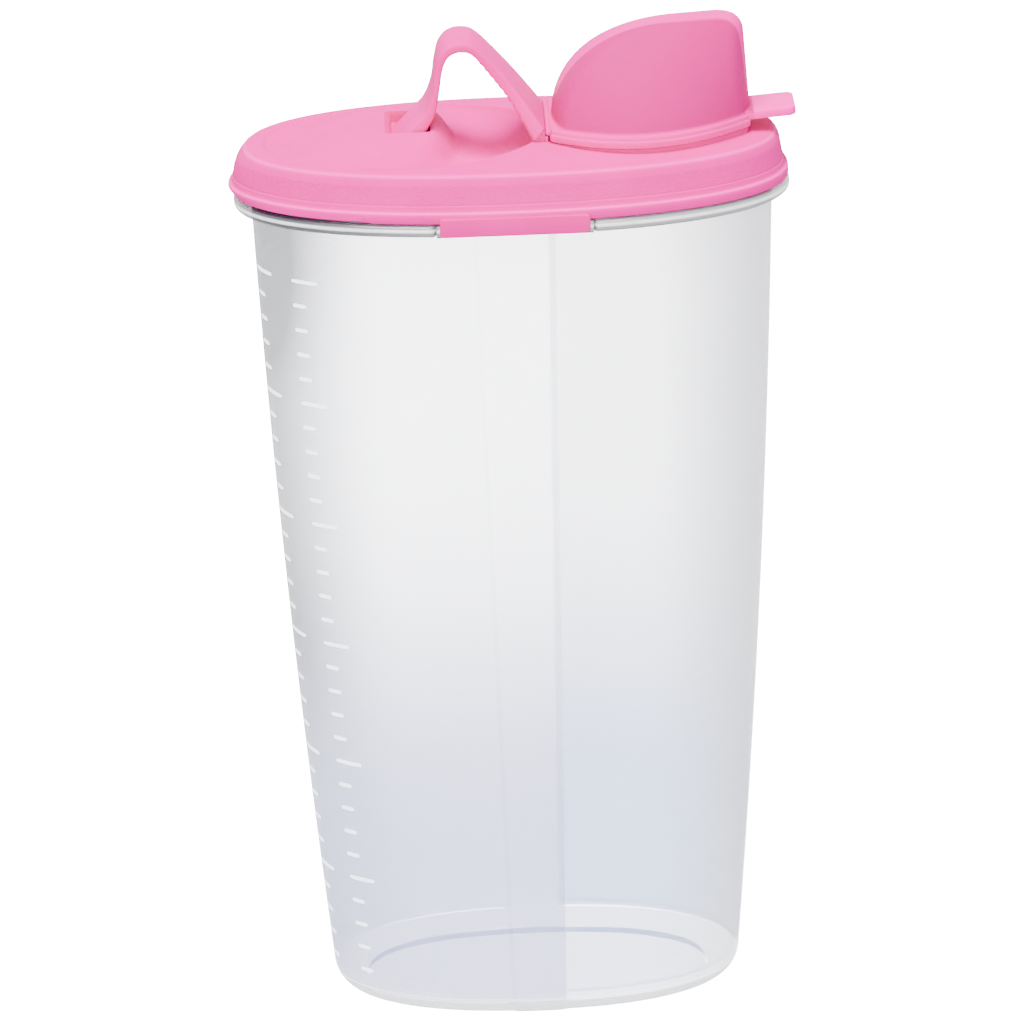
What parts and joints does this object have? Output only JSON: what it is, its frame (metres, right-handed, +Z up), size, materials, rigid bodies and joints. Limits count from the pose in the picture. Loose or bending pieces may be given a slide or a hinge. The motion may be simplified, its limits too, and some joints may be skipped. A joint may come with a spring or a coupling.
{
  "type": "cereal container",
  "caption": "Tall oval see-through storage tub with a press-fit lid, arched carrying handle over a finger dish, and a hooded flip spout with a thumb tab for pouring.",
  "frame": {"origin": "centre of the flat base, on the surface that the container stands on", "axes": "+X along the long axis of the oval towards the spout's tip, -Y towards the front, +Z up"},
  "size_m": [0.194, 0.1016, 0.3499],
  "materials": {
    "clear_plastic": "translucent",
    "pink_plastic": "satin"
  },
  "bodies": {
    "tub": {"tub": "clear_plastic"},
    "lid": {"lid": "pink_plastic", "handle": "pink_plastic"},
    "cap": {"flip_cap": "pink_plastic"}
  },
  "joints": [
    {"name": "lid_lift", "type": "slide", "parent": "tub", "child": "lid", "axis": [0, 0, 1], "range_m": [0, 0.1]},
    {"name": "cap_hinge", "type": "hinge", "parent": "lid", "child": "cap", "pos_m": [0.0128, 0, 0.3153], "axis": [0, -1, 0], "range_deg": [0, 50]}
  ]
}
